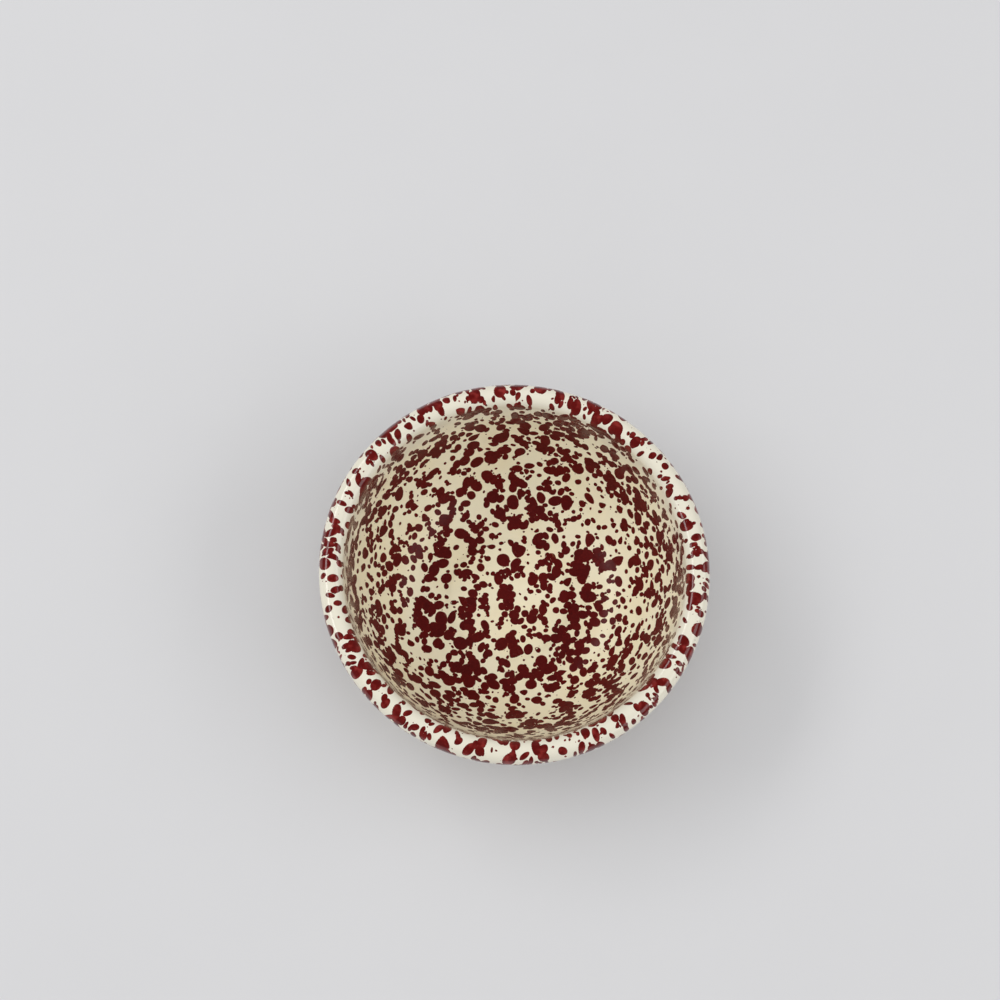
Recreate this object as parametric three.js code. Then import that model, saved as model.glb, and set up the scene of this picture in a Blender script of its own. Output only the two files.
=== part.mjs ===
// A round enamelled steel bowl: a pressed steel sheet whose edge is curled under at the rim, a dark
// ground coat fused to both of its faces, and a cream cover coat fused over that. Sizes are in
// millimetres, +Z is up, and the origin is the middle of the face that the bowl rests on.
import * as THREE from "three";

const { degToRad } = THREE.MathUtils;

// Driving dimensions of the finished bowl, measured over its enamel
const rimDiameter = 160;
const height = 55;
const baseDiameter = 66;
const restingRingWidth = 5;
const recessDepth = 0.8; // how far the middle of the base stands clear of the table
const recessSlopeWidth = 4; // level distance over which the base rises from the ring to the recess
const wallSlope = degToRad(80); // where the wall meets the lip, measured from level
const lipRadius = 5; // half-round top of the rim
const curlRadius = 3.4; // tighter underside of the rim
const curlEnd = degToRad(-230); // heading at the sheet's cut edge: level outwards is 0, down is -90

// Thicknesses, from the steel outwards
const sheet = 0.7;
const groundCoat = 0.1;
const coverCoat = 0.2;

// Facets
const turnSteps = 40;
const slopeSteps = 2;
const wallSteps = 6;
const lipInnerSteps = 2;
const lipOuterSteps = 2;
const curlSteps = 3;

// The reference line is the inner face of the sheet. Each depth below is measured from it along its
// normal, which points into the bowl: coats on the inside are positive, the sheet's outside negative.
const coats = groundCoat + coverCoat;
const outsideFace = -sheet;
const outsideGround = outsideFace - groundCoat;
const outsideCover = outsideGround - coverCoat;

const restHeight = -outsideCover;
const baseRadius = baseDiameter / 2;
const ringInnerRadius = baseRadius - restingRingWidth;
const recessRadius = ringInnerRadius - recessSlopeWidth;
const lipArc = lipRadius - coats;
const curlArc = curlRadius - coats;
const rimReach = rimDiameter / 2 - coats;
const rimLevel = height - coats - lipArc;

// A station is a point of the reference line with its heading
function station(radius, level, heading) {
  return { radius, level, heading };
}

// The base rises from the resting ring to the recess on a half wave
function recessStations() {
  const stations = [];
  for (let step = 0; step <= slopeSteps; step += 1) {
    const phase = (Math.PI * step) / slopeSteps;
    const radius = recessRadius + (recessSlopeWidth * step) / slopeSteps;
    const level = restHeight + (recessDepth * (1 + Math.cos(phase))) / 2;
    const rise = (-recessDepth * Math.PI * Math.sin(phase)) / (2 * recessSlopeWidth);
    stations.push(station(radius, level, Math.atan(rise)));
  }
  return stations;
}

// The wall is part of an ellipse that leaves the base level and meets the lip at the wall's slope
function wallStations() {
  const reach = rimReach - lipArc * (1 + Math.sin(wallSlope)) - baseRadius;
  const rise = rimLevel + lipArc * Math.cos(wallSlope) - restHeight;
  const left = rise ** 2 / (Math.tan(wallSlope) * reach - 2 * rise);
  const halfHeight = rise + left;
  const halfWidth = reach / Math.sqrt(1 - (left / halfHeight) ** 2);
  const lastPhase = Math.acos(left / halfHeight);
  const stations = [];
  for (let step = 0; step < wallSteps; step += 1) {
    const phase = (lastPhase * step) / wallSteps;
    const radius = baseRadius + halfWidth * Math.sin(phase);
    const level = restHeight + halfHeight * (1 - Math.cos(phase));
    const heading = Math.atan2(halfHeight * Math.sin(phase), halfWidth * Math.cos(phase));
    stations.push(station(radius, level, heading));
  }
  return stations;
}

// A round bend that turns outwards and down, without its last station
function bendStations(centreRadius, bendRadius, fromHeading, toHeading, steps) {
  const stations = [];
  for (let step = 0; step < steps; step += 1) {
    const heading = fromHeading + ((toHeading - fromHeading) * step) / steps;
    stations.push(bendStation(centreRadius, bendRadius, heading));
  }
  return stations;
}

function bendStation(centreRadius, bendRadius, heading) {
  const radius = centreRadius - bendRadius * Math.sin(heading);
  const level = rimLevel + bendRadius * Math.cos(heading);
  return station(radius, level, heading);
}

const outwards = 0;
const straightDown = degToRad(-90);
const lipCentre = rimReach - lipArc;
const curlCentre = rimReach - curlArc;
const cutEdge = bendStation(curlCentre, curlArc, curlEnd);
const referenceLine = [
  station(0, restHeight + recessDepth, 0),
  ...recessStations(),
  ...wallStations(),
  ...bendStations(lipCentre, lipArc, wallSlope, outwards, lipInnerSteps),
  ...bendStations(lipCentre, lipArc, outwards, straightDown, lipOuterSteps),
  ...bendStations(curlCentre, curlArc, straightDown, curlEnd, curlSteps),
  cutEdge,
];

// The point at a depth from a station, and optionally ahead of it along its heading
function pointAt({ radius, level, heading }, depth, ahead = 0) {
  const x = radius - depth * Math.sin(heading) + ahead * Math.cos(heading);
  const y = level + depth * Math.cos(heading) + ahead * Math.sin(heading);
  return new THREE.Vector2(x, y);
}

function lineAt(depth) {
  return referenceLine.map((place) => pointAt(place, depth));
}

// A layer of the bowl between two depths, turned about +Z. The points of edgeCap, if any, close its
// outer end in place of a straight cut.
function turnedLayer(name, innerDepth, outerDepth, edgeCap, material) {
  const outline = [...lineAt(outerDepth), ...edgeCap, ...lineAt(innerDepth).reverse()];
  const geometry = new THREE.LatheGeometry(outline, turnSteps);
  geometry.rotateX(Math.PI / 2);
  const layer = new THREE.Mesh(geometry, material);
  layer.name = name;
  return layer;
}

function steel() {
  return new THREE.MeshStandardMaterial({ color: 0x8b8e92, roughness: 0.45, metalness: 1 });
}

function groundEnamel() {
  return new THREE.MeshStandardMaterial({ color: 0x1b1c22, roughness: 0.35, metalness: 0 });
}

function creamEnamel() {
  return new THREE.MeshStandardMaterial({ color: 0xe6dfc8, roughness: 0.15, metalness: 0 });
}

// The inside cover coat also runs round the cut edge and closes over the ends of the other layers
const roundCutEdge = [
  pointAt(cutEdge, outsideCover),
  pointAt(cutEdge, outsideCover, coverCoat),
  pointAt(cutEdge, coats, coverCoat),
];

const bowl = new THREE.Group();
bowl.add(
  turnedLayer("steel_body", 0, outsideFace, [], steel()),
  turnedLayer("inside_ground_coat", groundCoat, 0, [], groundEnamel()),
  turnedLayer("outside_ground_coat", outsideFace, outsideGround, [], groundEnamel()),
  turnedLayer("inside_cover_coat", coats, groundCoat, roundCutEdge, creamEnamel()),
  turnedLayer("outside_cover_coat", outsideGround, outsideCover, [], creamEnamel()),
);

export default bowl;
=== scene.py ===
"""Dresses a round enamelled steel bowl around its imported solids.

The bowl is one pressed steel sheet whose edge is curled under at the rim. A dark ground coat and a cream
cover coat are fused to both of its faces, and burgundy drops are fused into the cover coat as a splatter.
Everything is in metres, +Z is up, and the origin is the middle of the face that the bowl rests on.
"""
import functools
import math
import random
from typing import NamedTuple

import bpy
import numpy as np
from mathutils import Matrix, Vector


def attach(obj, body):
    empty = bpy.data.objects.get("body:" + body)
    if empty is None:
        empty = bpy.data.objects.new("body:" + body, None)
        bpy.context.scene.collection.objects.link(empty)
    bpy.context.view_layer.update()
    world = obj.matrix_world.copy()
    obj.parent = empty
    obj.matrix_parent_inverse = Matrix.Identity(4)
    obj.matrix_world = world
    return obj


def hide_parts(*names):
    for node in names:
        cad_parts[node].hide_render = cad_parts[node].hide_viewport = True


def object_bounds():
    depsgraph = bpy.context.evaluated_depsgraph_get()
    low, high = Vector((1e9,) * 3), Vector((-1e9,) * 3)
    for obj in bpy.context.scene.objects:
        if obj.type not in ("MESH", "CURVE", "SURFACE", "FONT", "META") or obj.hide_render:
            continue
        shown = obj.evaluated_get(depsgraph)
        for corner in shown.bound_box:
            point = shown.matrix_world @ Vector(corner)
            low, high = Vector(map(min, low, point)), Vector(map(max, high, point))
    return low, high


bl_info = {
    "name": "Splatter enamel bowl",
    "version": (1, 0, 0),
    "blender": (4, 5, 0),
    "location": "View3D > Sidebar > Enamel bowl",
    "description": "Makes an enamelled steel bowl with a splattered finish, and its stage",
    "category": "Mesh",
}

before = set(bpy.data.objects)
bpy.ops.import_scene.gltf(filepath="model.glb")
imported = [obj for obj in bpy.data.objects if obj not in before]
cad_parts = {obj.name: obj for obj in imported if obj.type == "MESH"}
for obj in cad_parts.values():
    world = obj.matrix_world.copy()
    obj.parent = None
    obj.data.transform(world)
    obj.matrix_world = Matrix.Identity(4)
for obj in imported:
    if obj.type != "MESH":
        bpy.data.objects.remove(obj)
cad_low, cad_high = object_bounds()

MM = 0.001

# Facets of the turned layers
TURN_STEPS = 256
HIDDEN_TURN_STEPS = 128
FLOOR_STEPS = 5
SLOPE_STEPS = 6
WALL_STEPS = 28
LIP_STEPS = 14
CURL_STEPS = 12


def length(name, description, default):
    return bpy.props.FloatProperty(name=name, description=description, default=default, unit="LENGTH",
                                   precision=5)


def angle(name, description, degrees):
    return bpy.props.FloatProperty(name=name, description=description, default=math.radians(degrees),
                                   subtype="ANGLE")


def share(name, description, default):
    return bpy.props.FloatProperty(name=name, description=description, default=default, min=0, soft_max=1,
                                   subtype="FACTOR")


def colour(name, description, default):
    return bpy.props.FloatVectorProperty(name=name, description=description, default=default, size=3,
                                         min=0, max=1, subtype="COLOR")


class BowlSizes(bpy.types.PropertyGroup):
    """Sizes of the finished bowl, over its enamel."""

    rim_diameter: length("Rim diameter", "Widest, over the rolled rim", cad_high[0] - cad_low[0])
    height: length("Height", "From the table to the top of the rim", cad_high[2] - cad_low[2])
    base_diameter: length("Base diameter", "Outside of the ring it rests on", 66 * MM)
    ring_width: length("Ring width", "Width of the ring it rests on", 5 * MM)
    recess_depth: length("Recess depth", "How far the base stands clear of the table", 0.8 * MM)
    recess_slope_width: length("Recess slope", "Level width of the slope up to the recess", 4 * MM)
    wall_slope: angle("Wall slope", "Slope of the wall under the lip, from level", 80)
    lip_radius: length("Lip radius", "Half-round top of the rim", 5 * MM)
    curl_radius: length("Curl radius", "Tighter underside of the rim", 3.4 * MM)
    curl_end: angle("Curl end", "Heading at the cut edge: outwards is 0, down is -90", -230)
    sheet: length("Sheet", "Thickness of the steel", 0.7 * MM)
    ground_coat: length("Ground coat", "Thickness of the dark coat", 0.1 * MM)
    cover_coat: length("Cover coat", "Thickness of the cream coat", 0.2 * MM)


class SplatterSettings(bpy.types.PropertyGroup):
    """How the burgundy drops are flicked on."""

    drop_radius: length("Drop radius", "Middling radius of a drop", 1.4 * MM)
    largest_radius: length("Largest drop", "Radius that no drop passes", 3.0 * MM)
    longest_radius: length("Longest drop", "Half the length that no drop passes", 3.4 * MM)
    film: length("Film", "How far a drop stands above the cream", 0.035 * MM)
    inside_cover: share("Inside cover", "Drops' area as a share of the inside", 0.77)
    rim_cover: share("Rim cover", "Drops' area as a share of the rim", 0.6)
    outside_cover: share("Outside cover", "Drops' area as a share of the outside", 0.64)
    seed: bpy.props.IntProperty(name="Seed", description="Start of the random draws", default=11)


class EnamelColours(bpy.types.PropertyGroup):
    """Colours of the enamels and the stage, as linear light."""

    cream: colour("Cream", "Cover coat", (0.9, 0.825, 0.61))
    warm_cream: colour("Warm cream", "Cover coat where it is a little thicker", (0.88, 0.785, 0.545))
    # Painted light: the rim's cream is drawn paler and whiter, as a brightly lit rim looks
    rim_lit_cream: colour("Pale cream", "Cover coat where it drains thin, over the rim", (0.785, 0.75, 0.635))
    burgundy: colour("Burgundy", "Middle of a drop", (0.132, 0.006, 0.0052))
    # Painted shade: drops inside the bowl are drawn nearer to the deep burgundy
    deep_burgundy: colour("Deep burgundy", "Thickest part of a drop", (0.078, 0.0042, 0.0038))
    # Painted light: drops on the rim are drawn lighter and pinker, as they look in the sheen the rim catches
    rim_lit_burgundy: colour("Bright burgundy", "Drop that drains thin on the rim", (0.29, 0.032, 0.027))
    thin_burgundy: colour("Thin burgundy", "Thin edge of a drop", (0.36, 0.075, 0.04))
    ground: colour("Ground", "Dark adherence coat", (0.011, 0.0115, 0.0155))
    steel: colour("Steel", "Pressed sheet", (0.26, 0.27, 0.285))
    floor: colour("Floor", "Pale studio floor", (0.655, 0.655, 0.665))


class BowlSettings(bpy.types.PropertyGroup):
    """Everything a user would change."""

    sizes: bpy.props.PointerProperty(type=BowlSizes, name="Sizes", description="Sizes of the bowl")
    splatter: bpy.props.PointerProperty(type=SplatterSettings, name="Splatter", description="Drops")
    colours: bpy.props.PointerProperty(type=EnamelColours, name="Colours", description="Finishes")


class Socket:
    """A shader socket: arithmetic on it adds Math nodes, and node() adds any other node."""

    def __init__(self, tree, output=None):
        self.tree = tree
        self.output = output

    def node(self, kind, settings=None, inputs=None, output=0):
        made = self.tree.nodes.new(kind)
        for name, value in (settings or {}).items():
            setattr(made, name, value)
        for name, value in (inputs or {}).items():
            if isinstance(value, Socket):
                self.tree.links.new(value.output, made.inputs[name])
            else:
                made.inputs[name].default_value = value
        return Socket(self.tree, made.outputs[output] if len(made.outputs) else None)

    def math(self, operation, first, second=0.0):
        return self.node("ShaderNodeMath", {"operation": operation}, {0: first, 1: second})

    def __add__(self, other):
        return self.math("ADD", self, other)

    __radd__ = __add__

    def __sub__(self, other):
        return self.math("SUBTRACT", self, other)

    def __rsub__(self, other):
        return self.math("SUBTRACT", other, self)

    def __mul__(self, other):
        return self.math("MULTIPLY", self, other)

    __rmul__ = __mul__

    def mix(self, first, second):
        """A colour between two, by this value."""
        return self.node("ShaderNodeMix", {"data_type": "RGBA"}, {0: self, 6: first, 7: second}, 2)

    def ramp(self, low, high):
        """0 below low and 1 above high, with a smooth step between."""
        return self.node("ShaderNodeMapRange", {"interpolation_type": "SMOOTHSTEP"},
                         {0: self, 1: low, 2: high})

    def noise(self, per_metre, detail=2.0, roughness=0.5):
        """Even noise on this place, from about 0.3 to 0.7."""
        return self.node("ShaderNodeTexNoise", {},
                         {"Vector": self, "Scale": per_metre, "Detail": detail, "Roughness": roughness})


def rgba(values):
    return (*values, 1)


def new_finish(name):
    """An empty material, and a socket to start its nodes from."""
    finish = bpy.data.materials.new(name)
    finish.use_nodes = True
    finish.node_tree.nodes.clear()
    start = Socket(finish.node_tree)
    place = start.node("ShaderNodeTexCoord", output="Object")
    return finish, place


def close_finish(place, inputs):
    """The principled shader of a finish, and its output."""
    surface = place.node("ShaderNodeBsdfPrincipled", {}, inputs)
    place.node("ShaderNodeOutputMaterial", {}, {"Surface": surface})


def glass_ripple(place, strength):
    """The faint ripple that fused enamel has, coarse and fine."""
    coarse = place.noise(130, 1.5)
    fine = place.noise(620, 2.0)
    height = coarse * 0.7 + fine * 0.3
    return place.node("ShaderNodeBump", {}, {"Strength": strength, "Distance": 0.25 * MM, "Height": height},
                      "Normal")


# Radii between which the rim's painted light, a paler cream and lighter drops, and its gloss set in
RIM_RADII = (67 * MM, 71.5 * MM)
GLOSS_RADII = (65 * MM, 69.5 * MM)


def beyond(place, first, last):
    """0 nearer the bowl's axis than the first radius and 1 farther than the last, with a smooth step."""
    across = place.node("ShaderNodeVectorMath", {"operation": "MULTIPLY"}, {0: place, 1: (1, 1, 0)})
    radius = place.node("ShaderNodeVectorMath", {"operation": "LENGTH"}, {0: across}, "Value")
    return radius.ramp(first, last)


def over_rim(place):
    """1 on the rim, where the enamel is glossier and is drawn paler as painted light, and 0 on the rest of
    the bowl.
    """
    return beyond(place, *RIM_RADII)


def gloss(place):
    """1 on the rim and just under it, where the enamel shines most, and 0 lower down."""
    return beyond(place, *GLOSS_RADII)


def cream_enamel(colours):
    finish, place = new_finish("fused_cream_enamel")
    rim = over_rim(place)
    pooled = place.noise(42, 3.0).ramp(0.36, 0.68)
    base = pooled.mix(rgba(colours.cream), rgba(colours.warm_cream))
    # Painted light: the rim is drawn in the paler, whiter cream
    base = (rim * 0.9).mix(base, rgba(colours.rim_lit_cream))
    grain = place.noise(2600, 2.0, 0.6).ramp(0.3, 0.72)
    base = (grain * 0.07).mix(base, rgba([0.82 * part for part in colours.warm_cream]))
    roughness = place.noise(180, 2.0) * 0.08 + 0.16 - rim * 0.1
    close_finish(place, {"Base Color": base, "Roughness": roughness, "IOR": 1.5, "Specular IOR Level": 0.18,
                         "Coat Weight": gloss(place) * 0.6, "Normal": glass_ripple(place, 0.12)})
    return finish


def splatter_enamel(colours):
    finish, place = new_finish("fused_burgundy_enamel")
    film = place.node("ShaderNodeAttribute", {"attribute_name": "film"}, output="Fac")
    tone = place.node("ShaderNodeAttribute", {"attribute_name": "tone"}, output="Fac")
    cloud = place.noise(900, 3.0, 0.6).ramp(0.32, 0.7)
    # A drop's tone sets how deep it is; the tones run high inside the bowl, a painted shade, and low on the
    # rim, a painted light
    body = (cloud * 0.35 + tone * 0.65).mix(rgba(colours.burgundy), rgba(colours.deep_burgundy))
    rim = over_rim(place)
    # Painted light: patches of the drops on the rim are drawn in the lighter, pinker burgundy
    rim_painted_light = rim * place.noise(330, 2.0).ramp(0.44, 0.7) * (0.78 - tone)
    body = rim_painted_light.mix(body, rgba(colours.rim_lit_burgundy))
    base = film.ramp(0.2, 0.66).mix(rgba(colours.thin_burgundy), body)
    roughness = place.noise(240, 2.0) * 0.08 + 0.22 - rim * 0.15
    close_finish(place, {"Base Color": base, "Roughness": roughness, "IOR": 1.5, "Specular IOR Level": 0.14,
                         "Coat Weight": gloss(place) * 0.9, "Coat Roughness": 0.07,
                         "Normal": glass_ripple(place, 0.12)})
    return finish


def ground_enamel(colours):
    finish, place = new_finish("dark_ground_enamel")
    fleck = place.noise(3200, 2.0).ramp(0.62, 0.72)
    base = (fleck * 0.35).mix(rgba(colours.ground), rgba((0.06, 0.065, 0.075)))
    roughness = place.noise(700, 2.0) * 0.2 + 0.25
    close_finish(place, {"Base Color": base, "Roughness": roughness, "IOR": 1.5,
                         "Normal": glass_ripple(place, 0.2)})
    return finish


def pressed_steel(colours):
    finish, place = new_finish("pressed_sheet_steel")
    drawn = place.noise(420, 4.0, 0.65).ramp(0.3, 0.7)
    base = drawn.mix(rgba(colours.steel), rgba([1.18 * part for part in colours.steel]))
    roughness = place.noise(1500, 2.0) * 0.22 + 0.32
    close_finish(place, {"Base Color": base, "Metallic": 1.0, "Roughness": roughness,
                         "Normal": glass_ripple(place, 0.1)})
    return finish


def studio_floor(colours):
    finish, place = new_finish("studio_floor")
    worn = place.noise(9, 4.0, 0.6).ramp(0.3, 0.7)
    base = (worn * 0.3).mix(rgba(colours.floor), rgba([0.96 * part for part in colours.floor]))
    close_finish(place, {"Base Color": base, "Roughness": 0.75})
    return finish


# Each finish by the function that makes it
made_finishes = {}


def finish_piece(piece, make_finish, slot=None, replaced=()):
    """Give a piece its finish, made once, and tie it to the frame."""
    if make_finish not in made_finishes:
        made_finishes[make_finish] = make_finish(bpy.context.scene.enamel_bowl.colours)
    piece.data.materials.clear()
    piece.data.materials.append(made_finishes[make_finish])
    if slot:
        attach(piece, "root")
    if replaced:
        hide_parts(*replaced)


def deselect_all():
    if bpy.context.mode != "OBJECT":
        bpy.ops.object.mode_set(mode="OBJECT")
    bpy.ops.object.select_all(action="DESELECT")


class Station(NamedTuple):
    """A point of the sheet's inner face, with its heading: 0 is level outwards, a quarter turn is up."""

    part: str
    radius: float
    level: float
    heading: float

    def at(self, depth, ahead=0.0):
        """Radius and level of the point at a depth from here, into the bowl, and ahead along the heading."""
        return (self.radius - depth * math.sin(self.heading) + ahead * math.cos(self.heading),
                self.level + depth * math.cos(self.heading) + ahead * math.sin(self.heading))


def coats_of(sizes):
    return sizes.ground_coat + sizes.cover_coat


def sheet_line(sizes):
    """The sheet's inner face from the middle of the floor to its cut edge under the rim."""
    coats = coats_of(sizes)
    rest = sizes.sheet + coats
    base = sizes.base_diameter / 2
    ring = base - sizes.ring_width
    recess = ring - sizes.recess_slope_width
    lip_arc = sizes.lip_radius - coats
    curl_arc = sizes.curl_radius - coats
    reach = sizes.rim_diameter / 2 - coats
    rim_level = sizes.height - coats - lip_arc
    line = []

    for step in range(FLOOR_STEPS):
        line.append(Station("floor", recess * step / FLOOR_STEPS, rest + sizes.recess_depth, 0.0))

    for step in range(SLOPE_STEPS + 1):
        phase = math.pi * step / SLOPE_STEPS
        fall = -sizes.recess_depth * math.pi * math.sin(phase) / (2 * sizes.recess_slope_width)
        line.append(Station("floor", recess + sizes.recess_slope_width * step / SLOPE_STEPS,
                            rest + sizes.recess_depth * (1 + math.cos(phase)) / 2, math.atan(fall)))

    # The wall is part of an ellipse that leaves the base level and meets the lip at the wall's slope
    wall_reach = reach - lip_arc * (1 + math.sin(sizes.wall_slope)) - base
    wall_rise = rim_level + lip_arc * math.cos(sizes.wall_slope) - rest
    left = wall_rise ** 2 / (math.tan(sizes.wall_slope) * wall_reach - 2 * wall_rise)
    half_height = wall_rise + left
    half_width = wall_reach / math.sqrt(1 - (left / half_height) ** 2)
    last_phase = math.acos(left / half_height)
    for step in range(WALL_STEPS):
        phase = last_phase * step / WALL_STEPS
        heading = math.atan2(half_height * math.sin(phase), half_width * math.cos(phase))
        line.append(Station("wall", base + half_width * math.sin(phase),
                            rest + half_height * (1 - math.cos(phase)), heading))

    def bend(part, arc, first, last, steps, closed=False):
        centre = reach - arc
        for step in range(steps + closed):
            heading = first + (last - first) * step / steps
            line.append(Station(part, centre - arc * math.sin(heading),
                                rim_level + arc * math.cos(heading), heading))

    bend("lip", lip_arc, sizes.wall_slope, 0.0, LIP_STEPS)
    bend("lip", lip_arc, 0.0, -math.pi / 2, LIP_STEPS)
    bend("curl", curl_arc, -math.pi / 2, sizes.curl_end, CURL_STEPS, closed=True)
    return line


WELD = 1e-7
CREASE = math.radians(40)


def turn_outline(name, outline, turn_steps):
    """Turn an outline, which starts and ends on the axis, about +Z into a closed round piece."""
    deselect_all()
    bpy.ops.mesh.primitive_circle_add(vertices=len(outline), fill_type="NOTHING", calc_uvs=False)
    piece = bpy.context.object
    piece.name = name
    piece.data.name = name
    for vertex, (radius, level) in zip(piece.data.vertices, outline):
        vertex.co = (radius, 0, level)
    bpy.ops.object.mode_set(mode="EDIT")
    bpy.ops.mesh.select_mode(type="EDGE")
    bpy.ops.mesh.select_all(action="DESELECT")
    bpy.ops.object.mode_set(mode="OBJECT")
    for edge in piece.data.edges:
        edge.select = all(piece.data.vertices[corner].co.x < WELD for corner in edge.vertices)
    bpy.ops.object.mode_set(mode="EDIT")
    bpy.ops.mesh.delete(type="EDGE")
    bpy.ops.mesh.select_all(action="SELECT")
    bpy.ops.mesh.spin(steps=turn_steps, angle=2 * math.pi, center=(0, 0, 0), axis=(0, 0, 1))
    bpy.ops.mesh.select_all(action="SELECT")
    bpy.ops.mesh.remove_doubles(threshold=WELD)
    bpy.ops.mesh.normals_make_consistent(inside=False)
    bpy.ops.object.mode_set(mode="OBJECT")
    bpy.ops.object.shade_smooth_by_angle(angle=CREASE)
    return piece


def turned_layer(name, sizes, inner_depth, outer_depth, turn_steps, edge_cap=()):
    """A layer of the bowl between two depths from the sheet's inner face."""
    line = sheet_line(sizes)
    outline = [station.at(outer_depth) for station in line]
    outline += edge_cap
    outline += [station.at(inner_depth) for station in reversed(line)]
    return turn_outline(name, outline, turn_steps)


class BOWL_OT_press_steel(bpy.types.Operator):
    """Press the steel sheet into floor, wall, lip and curled edge"""

    bl_idname = "bowl.press_steel"
    bl_label = "Press steel body"

    def execute(self, context):
        sizes = context.scene.enamel_bowl.sizes
        body = turned_layer("pressed_body", sizes, 0, -sizes.sheet, HIDDEN_TURN_STEPS)
        finish_piece(body, pressed_steel, "steel", ["steel_body"])
        return {"FINISHED"}


class BOWL_OT_fire_ground_coats(bpy.types.Operator):
    """Fuse the dark ground coat to both faces of the sheet"""

    bl_idname = "bowl.fire_ground_coats"
    bl_label = "Fire ground coats"

    def execute(self, context):
        sizes = context.scene.enamel_bowl.sizes
        inside = turned_layer("inside_ground_enamel", sizes, sizes.ground_coat, 0, HIDDEN_TURN_STEPS)
        finish_piece(inside, ground_enamel, "ground_enamel", ["inside_ground_coat"])
        outside = turned_layer("outside_ground_enamel", sizes, -sizes.sheet,
                               -sizes.sheet - sizes.ground_coat, HIDDEN_TURN_STEPS)
        finish_piece(outside, ground_enamel, "ground_enamel", ["outside_ground_coat"])
        return {"FINISHED"}


class BOWL_OT_fire_cover_coats(bpy.types.Operator):
    """Fuse the cream cover coat over the ground coat, and round the cut edge under the rim"""

    bl_idname = "bowl.fire_cover_coats"
    bl_label = "Fire cover coats"

    def execute(self, context):
        sizes = context.scene.enamel_bowl.sizes
        coats = coats_of(sizes)
        outer_face = -sizes.sheet - coats
        cut_edge = sheet_line(sizes)[-1]
        edge_cap = [cut_edge.at(outer_face), cut_edge.at(outer_face, sizes.cover_coat),
                    cut_edge.at(coats, sizes.cover_coat)]
        inside = turned_layer("inside_cream_enamel", sizes, coats, sizes.ground_coat, TURN_STEPS, edge_cap)
        finish_piece(inside, cream_enamel, "cream_enamel", ["inside_cover_coat"])
        outside = turned_layer("outside_cream_enamel", sizes, -sizes.sheet - sizes.ground_coat, outer_face,
                               TURN_STEPS)
        finish_piece(outside, cream_enamel, "cream_enamel", ["outside_cover_coat"])
        return {"FINISHED"}


# Keeps the cones that patches are laid on from an endless or an empty radius
LEAST_SLANT = 0.05
LEAST_RADIUS = 1e-6


class Face:
    """A face of the bowl unrolled along its outline, from the axis outwards."""

    def __init__(self, sizes, depth):
        line = sheet_line(sizes)
        places = np.array([station.at(depth) for station in line])
        steps = np.hypot(*np.diff(places, axis=0).T)
        self.inward = 1 if depth > 0 else -1
        self.along = np.concatenate([[0], np.cumsum(steps)])
        self.radius = places[:, 0]
        self.level = places[:, 1]
        self.heading = np.array([station.heading for station in line])
        self.parts = [station.part for station in line]

    def start_of(self, part):
        return self.along[self.parts.index(part)]

    def along_at_radius(self, radius):
        floor_and_wall = self.parts.index("lip")
        return float(np.interp(radius, self.radius[:floor_and_wall], self.along[:floor_and_wall]))

    def along_at_heading(self, heading):
        bends = self.parts.index("lip")
        return float(np.interp(-heading, -self.heading[bends:], self.along[bends:]))

    def turn_across(self, along, reach):
        """How far the face bends within a reach of a place."""
        return float(np.ptp(np.interp([along - reach, along, along + reach], self.along, self.heading)))

    def point(self, along, around, rise):
        radius = np.interp(along, self.along, self.radius)
        level = np.interp(along, self.along, self.level)
        heading = np.interp(along, self.along, self.heading)
        radius = radius - self.inward * rise * np.sin(heading)
        level = level + self.inward * rise * np.cos(heading)
        return np.stack([radius * np.cos(around), radius * np.sin(around), level], axis=-1)

    def lay(self, along, around, ahead, aside, rise):
        """Points of a flat patch, ahead and aside of its middle, laid on the face as on a cone."""
        radius = float(np.interp(along, self.along, self.radius))
        heading = float(np.interp(along, self.along, self.heading))
        slant = math.cos(heading)
        slant = math.copysign(max(abs(slant), LEAST_SLANT), slant)
        apex = max(radius, LEAST_RADIUS) / abs(slant)
        sign = math.copysign(1, slant)
        reach = apex + sign * ahead
        aside = aside * self.inward
        return self.point(along + sign * (np.hypot(reach, aside) - apex),
                          around + np.arctan2(aside, reach) * apex / max(radius, LEAST_RADIUS), rise)


class DropShape(NamedTuple):
    """A drop modelled flat, about 1 in radius: its points, its faces and its film's height, up to 1.

    Its chart has a place in a unit square for each corner of each face, to spread its colours flat."""

    points: np.ndarray
    faces: list
    film: np.ndarray
    charts: list


# How likely each drop shape is, and its pulls on a round blank: direction in degrees, how far, and how
# much of the outline follows
DROP_PULLS = {
    "round": (44, [(25, 0.07, 1.2), (160, -0.06, 1.2)]),
    "plump": (30, [(0, 0.18, 1.5), (115, 0.12, 1.1), (235, -0.08, 1.1)]),
    "pear": (9, [(0, 0.45, 1.6)]),
    "bean": (9, [(90, -0.3, 1.15), (200, 0.16, 1.0), (340, 0.16, 1.0)]),
    "tailed": (2, [(0, 0.35, 1.5), (0, 0.5, 0.55)]),
    "lobed": (6, [(20, 0.26, 0.8), (140, 0.2, 0.8), (265, 0.3, 0.85)]),
}


class DropGrade(NamedTuple):
    """How finely a drop is modelled, from a least radius up. Rings are scale and film."""

    least: float
    sides: int
    rings: list
    under_rings: list


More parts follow.
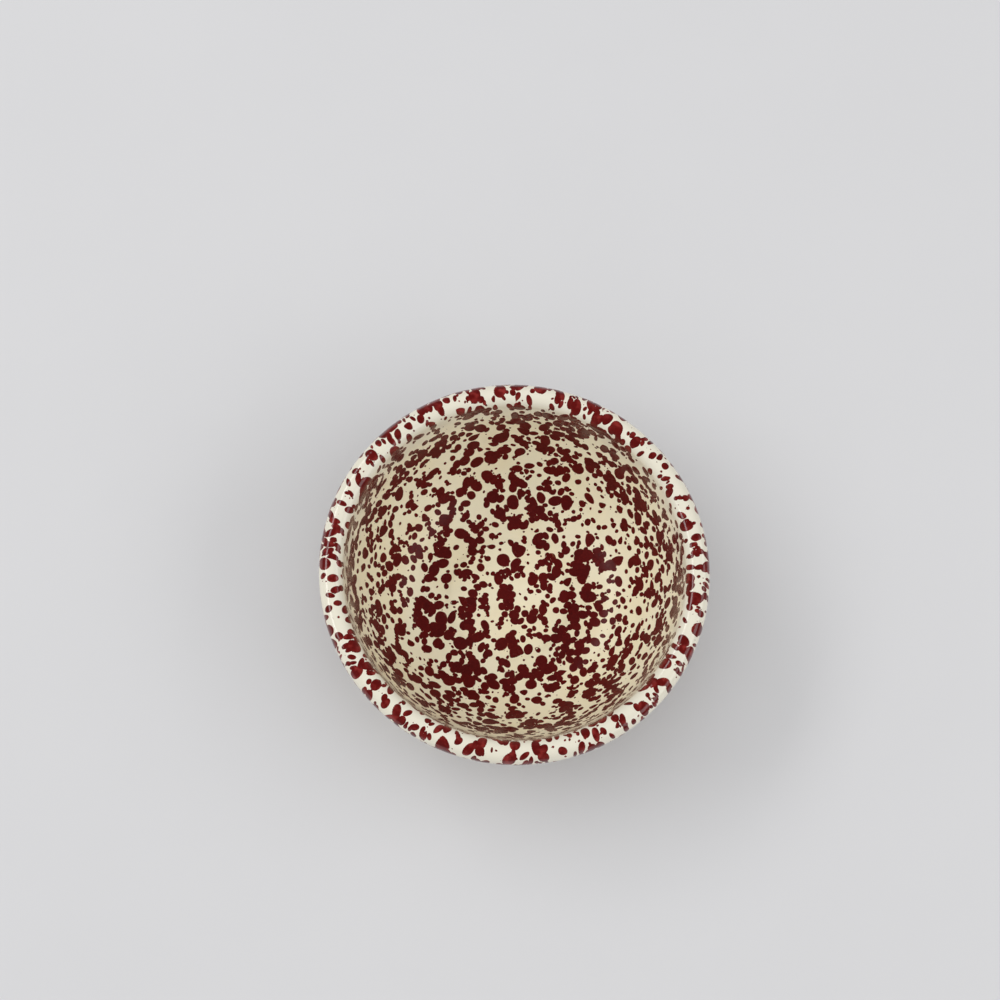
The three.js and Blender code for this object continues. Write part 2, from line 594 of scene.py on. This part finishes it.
FLAT_GRADES = [
    DropGrade(1.4 * MM, 20, [(0.87, 0.6), (0.55, 0.95)], []),
    DropGrade(0.7 * MM, 16, [(0.84, 0.64)], []),
    DropGrade(0.34 * MM, 11, [(0.8, 0.68)], []),
    DropGrade(0.0, 7, [(0.72, 0.7)], []),
]
CURVED_GRADES = [
    DropGrade(1.4 * MM, 22, [(0.9, 0.8), (0.75, 0.93), (0.57, 0.96), (0.38, 0.98), (0.19, 1.0)],
              [(0.66, -1.2), (0.33, -1.6)]),
    DropGrade(0.7 * MM, 16, [(0.88, 0.76), (0.65, 0.94), (0.36, 0.98)], [(0.5, -1.2)]),
    DropGrade(0.34 * MM, 11, [(0.82, 0.7), (0.45, 0.95)], []),
    DropGrade(0.0, 7, [(0.72, 0.7)], []),
]

# Bend under a drop, in radians, that calls for the curved grades
SHARP_TURN = 0.25

# How deep the middle of a drop's underside sinks, in its film's heights
UNDERSIDE = -3.0
CURVED_UNDERSIDE = -2.0

# A film lower than this is at the drop's edge or under it
NO_FILM = 1e-6

# Middle and half width of the squares in a drop's chart for its underside and for its top
UNDER_CHART = (0.04, 0.03)
TOP_CHART = (0.52, 0.44)


def raise_rings(rings):
    """Extrude the selected face through rings of scale and film, and close it to a point."""
    scale, film = 1.0, 0.0
    for ring_scale, ring_film in rings:
        bpy.ops.mesh.extrude_region_move(TRANSFORM_OT_translate={"value": (0, 0, ring_film - film)})
        shrink = ring_scale / scale
        bpy.ops.transform.resize(value=(shrink, shrink, 1), center_override=(0, 0, ring_film))
        scale, film = ring_scale, ring_film
    bpy.ops.mesh.poke(offset=0)


def model_drop(pulls, grade):
    """Model one drop: pull a round blank out of true, raise its film and sink its underside."""
    deselect_all()
    bpy.ops.mesh.primitive_circle_add(vertices=grade.sides, radius=1, fill_type="NGON", calc_uvs=False)
    blank = bpy.context.object
    for degrees, pull, reach in pulls:
        aim = Vector((math.cos(math.radians(degrees)), math.sin(math.radians(degrees)), 0))
        nearest = max(blank.data.vertices, key=lambda vertex: vertex.co.normalized().dot(aim)).index
        bpy.ops.object.mode_set(mode="EDIT")
        bpy.ops.mesh.select_mode(type="VERT")
        bpy.ops.mesh.select_all(action="DESELECT")
        bpy.ops.object.mode_set(mode="OBJECT")
        blank.data.vertices[nearest].select = True
        bpy.ops.object.mode_set(mode="EDIT")
        bpy.ops.transform.translate(value=aim * pull, use_proportional_edit=True,
                                    proportional_edit_falloff="SMOOTH", proportional_size=reach)
        bpy.ops.object.mode_set(mode="OBJECT")
    bpy.ops.object.mode_set(mode="EDIT")
    bpy.ops.mesh.select_mode(type="FACE")
    bpy.ops.mesh.select_all(action="SELECT")
    raise_rings(grade.rings)
    bpy.ops.mesh.select_all(action="DESELECT")
    bpy.ops.object.mode_set(mode="OBJECT")
    blank.data.vertices[-1].co.z = 1.0
    for polygon in blank.data.polygons:
        polygon.select = all(blank.data.vertices[corner].co.z < NO_FILM for corner in polygon.vertices)
    bpy.ops.object.mode_set(mode="EDIT")
    raise_rings(grade.under_rings)
    bpy.ops.mesh.select_all(action="SELECT")
    bpy.ops.mesh.normals_make_consistent(inside=False)
    bpy.ops.object.mode_set(mode="OBJECT")
    blank.data.vertices[-1].co.z = CURVED_UNDERSIDE if grade.under_rings else UNDERSIDE
    places = np.array([vertex.co for vertex in blank.data.vertices])
    faces = [list(polygon.vertices) for polygon in blank.data.polygons]
    bpy.data.objects.remove(blank)
    points, film = places[:, :2], places[:, 2]
    reach = np.abs(points).max()
    charts = []
    for corners in faces:
        under = film[corners].max() < NO_FILM
        middle, size = UNDER_CHART if under else TOP_CHART
        charts.append((middle + size * points[corners] / reach).tolist())
    return DropShape(points, faces, film, charts)


@functools.cache
def drop_shapes(curved):
    """The least radius of each grade, with its drop shapes."""
    return [(grade.least, [model_drop(pulls, grade) for _, pulls in DROP_PULLS.values()])
            for grade in (CURVED_GRADES if curved else FLAT_GRADES)]


# A flick's chain of drops: the chance of one more, how far apart they are as a share of their radii, how
# they vary in size, as logarithms, and how the chain bends, in radians
CHAIN_CHANCE = 0.47
LONGEST_CHAIN = 7
CHAIN_PACE = (0.6, 1.02)
SIZE_SPREAD = 0.42
FOLLOWING_SIZE = -0.1
CHAIN_BEND = 0.9

# How far flicks and drops lean from straight across the rim, in radians
FLICK_LEAN = 0.7
DROP_LEAN = 0.35

# Satellites of a drop: the chance of one more, and its distance and size as shares of the drop's radius
SATELLITE_CHANCE = 0.2
SATELLITE_GAP = (1.5, 2.6)
SATELLITE_SIZE = (0.16, 0.45)
SATELLITE_STRETCH = (1, 1.5)
LARGEST_SATELLITE = 0.6 * MM
LEAST_CIRCLE = 2 * MM

# Each flick starts at the roomiest of a few places, and lone specks are sprinkled between, with radii in mm
START_TRIES = 6
SPECKS_PER_MM2 = 0.02
SPECK_RADIUS = (0.12, 0.34)
SPECK_STRETCH = (1, 1.6)

# A drop's film varies in height, is lower on small drops, and is higher on a bend, by the bend in radians.
# Its edge is sunk a little into the cream
FILM_SPREAD = (0.75, 1.25)
SMALL_FILM = 0.45
FULL_FILM_RADIUS = 1.6 * MM
BEND_LIFT = 0.6
EDGE_SINK = 0.012 * MM

FULL_TURN = 2 * math.pi
AREA_STEPS = 400


class Zone(NamedTuple):
    """A band of a face that drops are flicked on to.

    The band runs from first to last along the face. Cover is the drops' area as a share of the band's, size
    scales the drops, stretch is the range of their length over their width, and tone that of their depth of
    colour. In a zone that runs out, the drops point across the rim."""

    first: float
    last: float
    cover: float
    size: float
    stretch: tuple
    runs_out: bool
    tone: tuple


class Drop(NamedTuple):
    """A drop's place on a face, its size, and the turn of its length from straight outwards."""

    along: float
    around: float
    radius: float
    stretch: float
    spin: float


def spread(draw, face, zone):
    """A place in the zone, drawn evenly over its area."""
    while True:
        along = draw.uniform(zone.first, zone.last)
        radius = float(np.interp(along, face.along, face.radius))
        if draw.random() * face.radius.max() < radius:
            return along, draw.uniform(0, FULL_TURN)


def zone_area(face, zone):
    along = np.linspace(zone.first, zone.last, AREA_STEPS)
    radius = np.interp(along, face.along, face.radius)
    return FULL_TURN * float(np.mean(radius)) * (zone.last - zone.first)


def flick(draw, face, zone, settings, start):
    """One flick of the brush: a chain of drops that run into each other, with a few satellites."""
    along, around = start
    count = 1
    while count < LONGEST_CHAIN and draw.random() < CHAIN_CHANCE:
        count += 1
    heading = draw.gauss(0, FLICK_LEAN) if zone.runs_out else draw.uniform(0, FULL_TURN)
    size = zone.size * settings.drop_radius
    radius = min(size * math.exp(draw.gauss(0, SIZE_SPREAD)), settings.largest_radius)
    drops = []
    for _ in range(count):
        stretch = min(draw.uniform(*zone.stretch), (settings.longest_radius / radius) ** 2)
        lean = draw.gauss(0, DROP_LEAN) if zone.runs_out else draw.uniform(0, FULL_TURN)
        drops.append(Drop(along, around, radius, stretch, lean))
        circle = max(float(np.interp(along, face.along, face.radius)), LEAST_CIRCLE)
        while draw.random() < SATELLITE_CHANCE:
            away = draw.uniform(0, FULL_TURN)
            gap = radius * draw.uniform(*SATELLITE_GAP)
            satellite = min(radius * draw.uniform(*SATELLITE_SIZE), LARGEST_SATELLITE)
            drops.append(Drop(along + gap * math.cos(away), around + gap * math.sin(away) / circle,
                              satellite, draw.uniform(*SATELLITE_STRETCH), away))
        following = min(size * math.exp(draw.gauss(FOLLOWING_SIZE, SIZE_SPREAD)), settings.largest_radius)
        pace = (radius + following) * draw.uniform(*CHAIN_PACE)
        heading += draw.gauss(0, CHAIN_BEND)
        along += pace * math.cos(heading)
        around += pace * math.sin(heading) / circle
        radius = following
    return drops


def flick_drops(draw, face, zone, settings):
    """Flick drops on to a zone until their area comes to its cover."""
    area = zone_area(face, zone)
    drops = []
    starts = np.zeros((0, 3))
    painted = 0.0
    while painted < zone.cover * area:
        tries = [spread(draw, face, zone) for _ in range(START_TRIES)]
        spots = np.array([face.point(along, around, 0.0) for along, around in tries])
        if len(starts):
            room = np.linalg.norm(starts[None] - spots[:, None], axis=-1).min(axis=1)
            chosen = int(np.argmax(room))
        else:
            chosen = 0
        starts = np.vstack([starts, spots[chosen]])
        for drop in flick(draw, face, zone, settings, tries[chosen]):
            if zone.first < drop.along < zone.last:
                drops.append(drop)
                painted += math.pi * drop.radius ** 2
    for _ in range(int(area / MM ** 2 * SPECKS_PER_MM2)):
        along, around = spread(draw, face, zone)
        drops.append(Drop(along, around, draw.uniform(*SPECK_RADIUS) * MM, draw.uniform(*SPECK_STRETCH),
                          draw.uniform(0, FULL_TURN)))
    return drops


def lay_drops(name, face, drops, zone, draw, film_height):
    """One piece from copies of the modelled drops, each laid on the face at its own size and turn."""
    likely = [weight for weight, _ in DROP_PULLS.values()]
    points, faces, film, tone, charts = [], [], [], [], []
    laid = 0
    cells = math.ceil(math.sqrt(len(drops)))
    for index, drop in enumerate(drops):
        bend = face.turn_across(drop.along, drop.radius)
        grades = drop_shapes(bend > SHARP_TURN)
        shapes = next(shapes for least, shapes in grades if drop.radius >= least)
        shape = draw.choices(shapes, likely)[0]
        turn = draw.uniform(0, FULL_TURN)
        flip = draw.choice((-1, 1))
        across = shape.points[:, 0] * math.cos(turn) - flip * shape.points[:, 1] * math.sin(turn)
        along = shape.points[:, 0] * math.sin(turn) + flip * shape.points[:, 1] * math.cos(turn)
        longer = drop.radius * math.sqrt(drop.stretch)
        thinner = drop.radius / math.sqrt(drop.stretch)
        across, along = across * longer, along * thinner
        ahead = across * math.cos(drop.spin) - along * math.sin(drop.spin)
        aside = across * math.sin(drop.spin) + along * math.cos(drop.spin)
        fullness = min(1.0, SMALL_FILM + drop.radius / FULL_FILM_RADIUS)
        stand = film_height * draw.uniform(*FILM_SPREAD) * fullness
        stand *= 1 + BEND_LIFT * bend
        rise = shape.film * (stand + EDGE_SINK) - EDGE_SINK
        points.append(face.lay(drop.along, drop.around, ahead, aside, rise))
        order = slice(None, None, flip)
        faces += [[laid + corner for corner in corners[order]] for corners in shape.faces]
        cell = (index % cells, index // cells)
        charts += [(np.add(corners[order], cell) / cells).ravel() for corners in shape.charts]
        film.append(shape.film)
        tone.append(np.full(len(shape.film), draw.uniform(*zone.tone)))
        laid += len(shape.film)
    mesh = bpy.data.meshes.new(name)
    mesh.from_pydata(np.concatenate(points).tolist(), [], faces)
    for title, values in (("film", film), ("tone", tone)):
        mesh.attributes.new(title, "FLOAT", "POINT").data.foreach_set("value", np.concatenate(values))
    mesh.uv_layers.new(name="OFBake").data.foreach_set("uv", np.concatenate(charts))
    piece = bpy.data.objects.new(name, mesh)
    bpy.context.scene.collection.objects.link(piece)
    deselect_all()
    piece.select_set(True)
    bpy.context.view_layer.objects.active = piece
    bpy.ops.object.shade_smooth()
    return piece


# How deep the drops' colour is, drawn at random within a range: deeper inside the bowl as painted shade, and
# lighter on the rim as painted light
SHADED_INSIDE_TONE = (0.45, 1.0)
LIT_RIM_TONE = (0.0, 0.5)
EVEN = (0.2, 0.8)

# How long the drops are for their width
FLOOR_STRETCH = (1.0, 1.5)
WALL_STRETCH = (1.0, 1.6)
RIM_STRETCH = (1.1, 2.3)

# Size of the drops on the rim and the base, against those on the walls, and how much of them the base gets
RIM_SIZE = 1.05
BASE_SIZE = 0.82
BASE_COVER = 0.5

# Where the splatter is split into pieces, the ring that is left bare to rest on, and the rim's last heading
INSIDE_TURN = 50 * MM
INSIDE_MIDDLE = 63 * MM
OUTSIDE_MIDDLE = 65 * MM
BARE_RING = (26 * MM, 36 * MM)
RIM_END = math.radians(-195)


def splatter_zone(name, face, zone, seed_step):
    """One piece of splatter, with its own random draws."""
    settings = bpy.context.scene.enamel_bowl.splatter
    draw = random.Random(settings.seed + seed_step)
    drops = flick_drops(draw, face, zone, settings)
    piece = lay_drops(name, face, drops, zone, draw, settings.film)
    finish_piece(piece, splatter_enamel, "splatter_enamel")


class BOWL_OT_splatter_inside(bpy.types.Operator):
    """Flick burgundy drops over the floor and the wall inside the bowl"""

    bl_idname = "bowl.splatter_inside"
    bl_label = "Splatter inside"

    def execute(self, context):
        bowl = context.scene.enamel_bowl
        face = Face(bowl.sizes, coats_of(bowl.sizes))
        cover = bowl.splatter.inside_cover
        turn = face.along_at_radius(INSIDE_TURN)
        lip = face.start_of("lip")
        floor = Zone(0, turn, cover, 1.0, FLOOR_STRETCH, False, SHADED_INSIDE_TONE)
        splatter_zone("floor_splatter", face, floor, 1)
        middle = face.along_at_radius(INSIDE_MIDDLE)
        lower = Zone(turn, middle, cover, 1.0, WALL_STRETCH, False, SHADED_INSIDE_TONE)
        splatter_zone("lower_wall_splatter", face, lower, 2)
        upper = Zone(middle, lip, cover, 1.0, WALL_STRETCH, False, SHADED_INSIDE_TONE)
        splatter_zone("upper_wall_splatter", face, upper, 6)
        return {"FINISHED"}


class BOWL_OT_splatter_rim(bpy.types.Operator):
    """Flick drops over the rolled rim, where they run outwards, and round to its underside"""

    bl_idname = "bowl.splatter_rim"
    bl_label = "Splatter rim"

    def execute(self, context):
        bowl = context.scene.enamel_bowl
        face = Face(bowl.sizes, coats_of(bowl.sizes))
        rim = Zone(face.start_of("lip"), face.along_at_heading(RIM_END), bowl.splatter.rim_cover, RIM_SIZE,
                   RIM_STRETCH, True, LIT_RIM_TONE)
        splatter_zone("rim_splatter", face, rim, 3)
        return {"FINISHED"}


class BOWL_OT_splatter_outside(bpy.types.Operator):
    """Flick drops over the outside of the wall and the base, but not the ring it rests on"""

    bl_idname = "bowl.splatter_outside"
    bl_label = "Splatter outside"

    def execute(self, context):
        bowl = context.scene.enamel_bowl
        sizes = bowl.sizes
        face = Face(sizes, -sizes.sheet - coats_of(sizes))
        ring = [face.along_at_radius(radius) for radius in BARE_RING]
        cover = bowl.splatter.outside_cover
        base = Zone(0, ring[0], BASE_COVER * cover, BASE_SIZE, WALL_STRETCH, False, EVEN)
        splatter_zone("base_splatter", face, base, 4)
        middle = face.along_at_radius(OUTSIDE_MIDDLE)
        lower = Zone(ring[1], middle, cover, 1.0, WALL_STRETCH, False, EVEN)
        splatter_zone("lower_outside_splatter", face, lower, 5)
        upper = Zone(middle, face.start_of("lip"), cover, 1.0, WALL_STRETCH, False, EVEN)
        splatter_zone("upper_outside_splatter", face, upper, 7)
        return {"FINISHED"}


# The camera, as fitted to the rim's ellipse: distance to the middle of the rim, and where that shows
CAMERA_DISTANCE = 1.0
CAMERA_ELEVATION = math.radians(73.88)
CAMERA_ROLL = math.radians(9.93)
CAMERA_LENS = 88.07
SENSOR = 36.0
IMAGE_SIZE = 1000
RIM_RIGHT_OF_MIDDLE = 14.96
RIM_ABOVE_MIDDLE = -71.07
RIM_MIDDLE = Vector((0, 0, 50 * MM))

# Light from the room all round, what the ceiling adds straight overhead, and the backdrop
ROOM_LIGHT = 0.36
OVERHEAD_LIGHT = 0.84
OVERHEAD_DIRECTION = Vector((-0.2, -0.2, 0.96)).normalized()
BACKDROP_LIGHT = 0.72
ROOM_COLOUR = (0.995, 0.995, 1.0, 1)

# What gloss sees of the room: its light near level, and how much darker it is overhead
GLOSS_LIGHT = 0.1
GLOSS_OVERHEAD_FALL = 0.07

FLOOR_SIZE = 24
LAMP_DISTANCE = 2.2
LAMP_AIM = Vector((0, 0, 30 * MM))


class BOWL_OT_set_stage(bpy.types.Operator):
    """Lay a pale floor and set soft studio light and the camera"""

    bl_idname = "bowl.set_stage"
    bl_label = "Set stage"

    def execute(self, context):
        self.lay_floor()
        self.light_room(context.scene)
        self.add_lamps()
        self.set_camera(context.scene)
        context.scene.view_settings.view_transform = "Standard"
        return {"FINISHED"}

    def lay_floor(self):
        deselect_all()
        bpy.ops.mesh.primitive_plane_add(size=FLOOR_SIZE, calc_uvs=False)
        floor = bpy.context.object
        floor.name = "studio_floor"
        finish_piece(floor, studio_floor)

    def light_room(self, scene):
        """Even light from all round. Gloss sees a dark room, so that the enamel keeps its depth."""
        world = bpy.data.worlds.new("studio_room")
        scene.world = world
        world.use_nodes = True
        world.node_tree.nodes.clear()
        start = Socket(world.node_tree)
        way = start.node("ShaderNodeTexCoord", output="Generated")
        height = way.node("ShaderNodeSeparateXYZ", {}, {0: way}, "Z")
        facing = way.node("ShaderNodeVectorMath", {"operation": "DOT_PRODUCT"},
                          {0: way, 1: OVERHEAD_DIRECTION}, "Value")
        facing = way.math("MAXIMUM", facing, 0.0)
        seen = way.node("ShaderNodeLightPath", output="Is Camera Ray")
        glossy = way.node("ShaderNodeLightPath", output="Is Glossy Ray")
        lit = ROOM_LIGHT + facing * facing * OVERHEAD_LIGHT
        room = GLOSS_LIGHT - height.ramp(0.3, 0.9) * GLOSS_OVERHEAD_FALL
        strength = lit + glossy * (room - lit)
        strength = strength + seen * (BACKDROP_LIGHT - strength)
        light = way.node("ShaderNodeBackground", {}, {"Color": ROOM_COLOUR, "Strength": strength})
        way.node("ShaderNodeOutputWorld", {}, {"Surface": light})

    def add_lamps(self):
        self.add_softbox("left_softbox", azimuth=168, elevation=40, spread_degrees=(50, 14), radiance=4.2)
        self.add_softbox("right_softbox", azimuth=-2, elevation=36, spread_degrees=(60, 25), radiance=1.7)

    def add_softbox(self, name, azimuth, elevation, spread_degrees, radiance):
        """A softbox that faces the bowl, as wide and tall in degrees as its spread says."""
        azimuth, elevation = math.radians(azimuth), math.radians(elevation)
        direction = Vector((math.cos(azimuth) * math.cos(elevation), math.sin(azimuth) * math.cos(elevation),
                            math.sin(elevation)))
        deselect_all()
        bpy.ops.object.light_add(type="AREA", location=LAMP_AIM + direction * LAMP_DISTANCE)
        lamp = bpy.context.object
        lamp.name = name
        lamp.data.shape = "RECTANGLE"
        width, height = [2 * LAMP_DISTANCE * math.tan(math.radians(part) / 2) for part in spread_degrees]
        lamp.data.size, lamp.data.size_y = width, height
        lamp.data.energy = radiance * math.pi * width * height
        lamp.rotation_euler = direction.to_track_quat("Z", "Y").to_euler()

    def set_camera(self, scene):
        """The photo's camera, placed so that the rim's middle shows where it does there."""
        look = Vector((0, math.cos(CAMERA_ELEVATION), -math.sin(CAMERA_ELEVATION)))
        level = Vector((1, 0, 0))
        upright = level.cross(look)
        right = math.cos(CAMERA_ROLL) * level + math.sin(CAMERA_ROLL) * upright
        up = math.cos(CAMERA_ROLL) * upright - math.sin(CAMERA_ROLL) * level
        pixel = CAMERA_DISTANCE * SENSOR / (CAMERA_LENS * IMAGE_SIZE)
        place = RIM_MIDDLE - CAMERA_DISTANCE * look
        place -= RIM_RIGHT_OF_MIDDLE * pixel * right + RIM_ABOVE_MIDDLE * pixel * up
        deselect_all()
        bpy.ops.object.camera_add()
        camera = bpy.context.object
        camera.name = "studio_camera"
        camera.data.lens = CAMERA_LENS
        camera.data.sensor_width = SENSOR
        camera.data.clip_start = 0.01
        turned = Matrix((right, up, -look)).transposed().to_4x4()
        turned.translation = place
        camera.matrix_world = turned
        scene.camera = camera


STEPS = [
    BOWL_OT_press_steel,
    BOWL_OT_fire_ground_coats,
    BOWL_OT_fire_cover_coats,
    BOWL_OT_splatter_inside,
    BOWL_OT_splatter_rim,
    BOWL_OT_splatter_outside,
    BOWL_OT_set_stage,
]


class BOWL_PT_maker(bpy.types.Panel):
    """Sizes, splatter and colours of the bowl, and the steps that make it"""

    bl_idname = "BOWL_PT_maker"
    bl_label = "Enamel bowl"
    bl_space_type = "VIEW_3D"
    bl_region_type = "UI"
    bl_category = "Enamel bowl"

    def draw(self, context):
        bowl = context.scene.enamel_bowl
        for group in (bowl.sizes, bowl.splatter, bowl.colours):
            box = self.layout.box()
            for name in group.__annotations__:
                box.prop(group, name)
        for step in STEPS:
            self.layout.operator(step.bl_idname)


CLASSES = [BowlSizes, SplatterSettings, EnamelColours, BowlSettings, *STEPS, BOWL_PT_maker]


def register():
    for each in CLASSES:
        bpy.utils.register_class(each)
    bpy.types.Scene.enamel_bowl = bpy.props.PointerProperty(type=BowlSettings)


def unregister():
    del bpy.types.Scene.enamel_bowl
    for each in reversed(CLASSES):
        bpy.utils.unregister_class(each)


def main():
    register()
    bpy.ops.bowl.press_steel()
    bpy.ops.bowl.fire_ground_coats()
    bpy.ops.bowl.fire_cover_coats()
    bpy.ops.bowl.splatter_inside()
    bpy.ops.bowl.splatter_rim()
    bpy.ops.bowl.splatter_outside()
    bpy.ops.bowl.set_stage()


if __name__ == "__main__":
    main()
